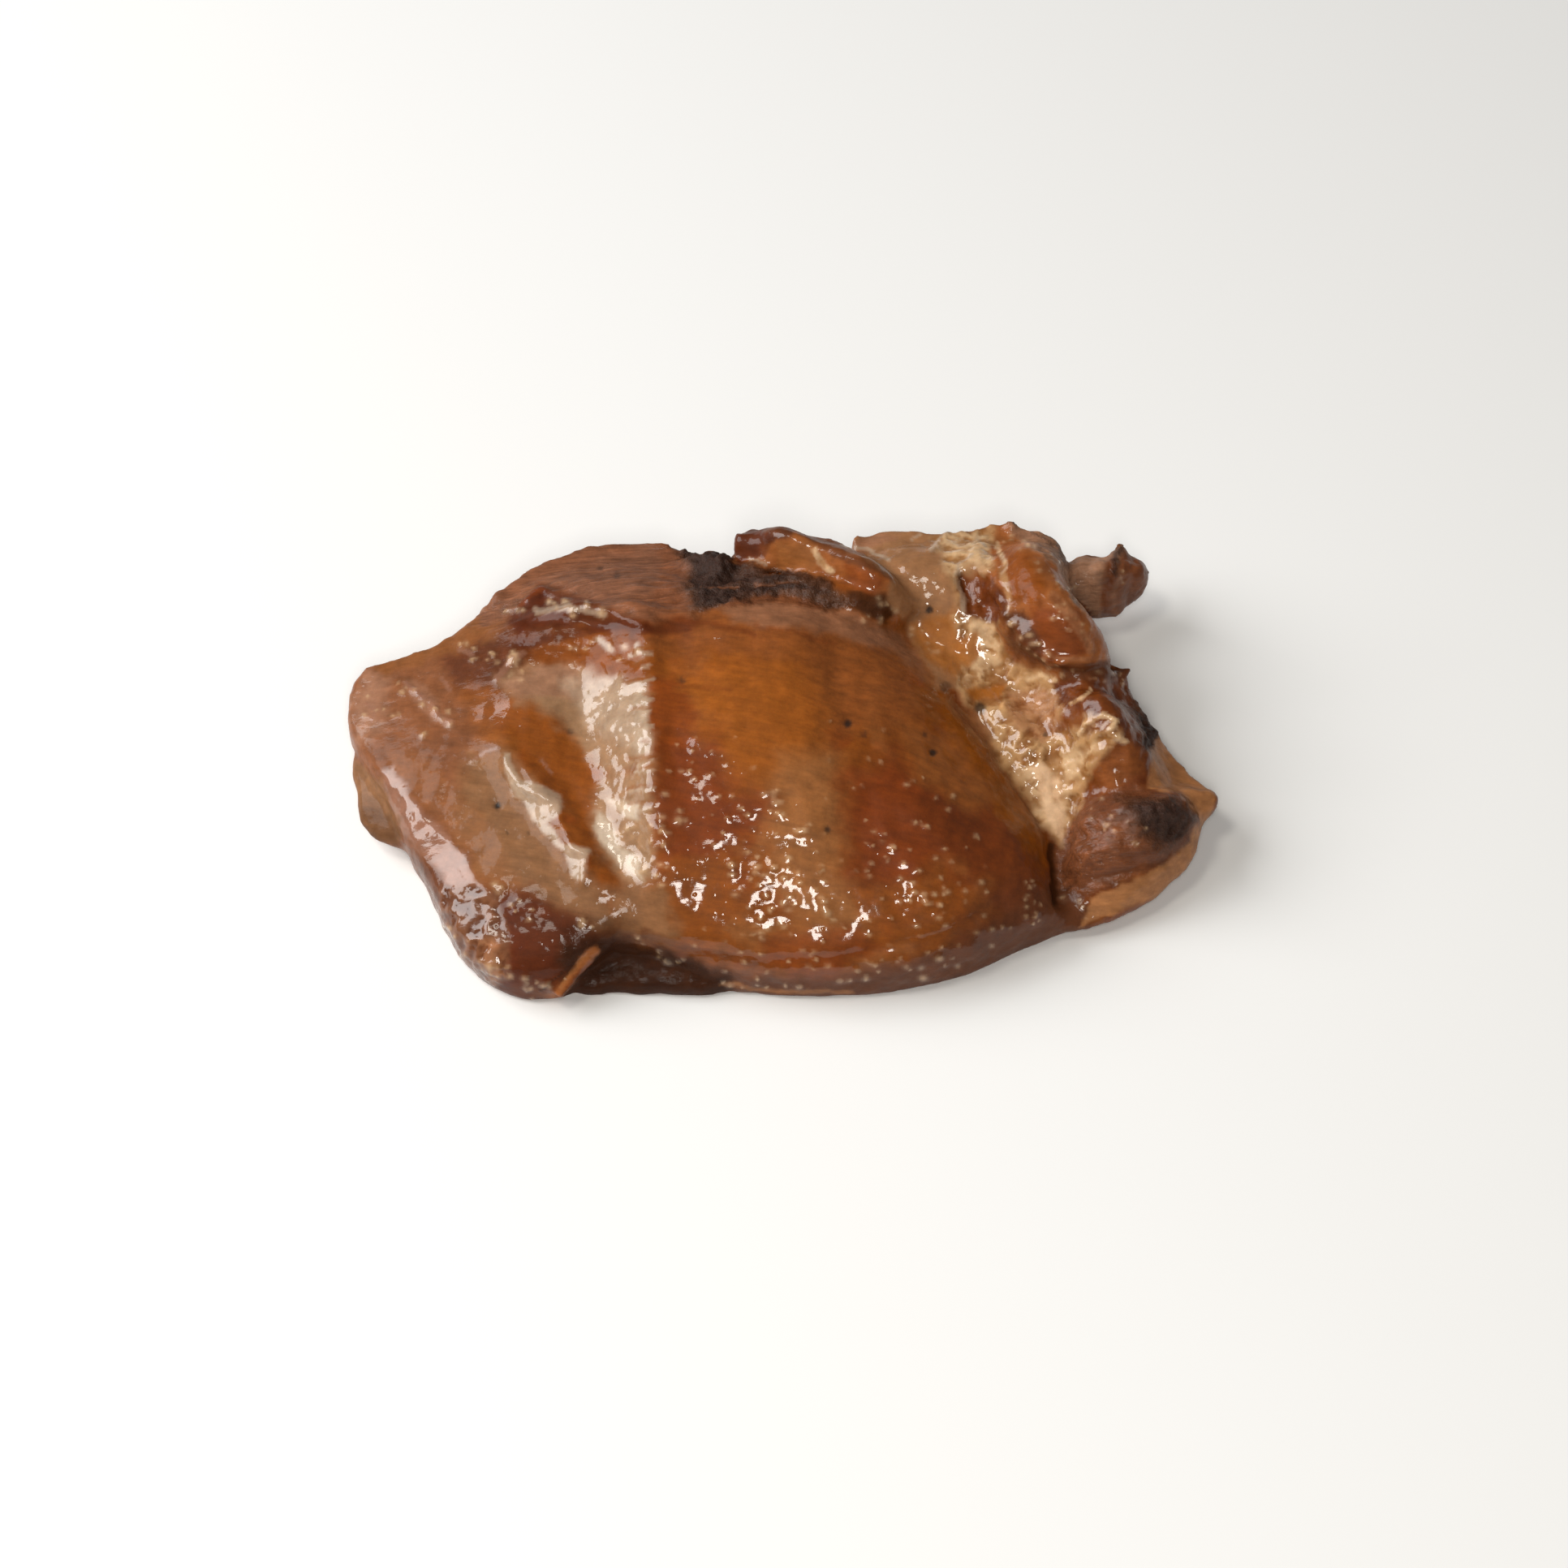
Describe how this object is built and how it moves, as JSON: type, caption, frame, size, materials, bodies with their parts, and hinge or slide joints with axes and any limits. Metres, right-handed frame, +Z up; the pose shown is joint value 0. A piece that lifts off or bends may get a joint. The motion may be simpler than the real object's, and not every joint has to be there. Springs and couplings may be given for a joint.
{
  "type": "barbecue chicken",
  "caption": "Boned barbecued chicken leg with glazed skin, folded over at one end and charred along its back edge, lying on its flat underside.",
  "frame": {"origin": "middle of the bounding box at the underside, on the surface that the piece lies on", "axes": "+X along the length towards the end with the folded lobe, +Y from the front edge to the charred back edge, +Z up"},
  "size_m": [0.159, 0.0956, 0.0318],
  "materials": {
    "glazed_skin": null
  },
  "bodies": {
    "root": {"barbecue_chicken": "glazed_skin"}
  },
  "joints": []
}
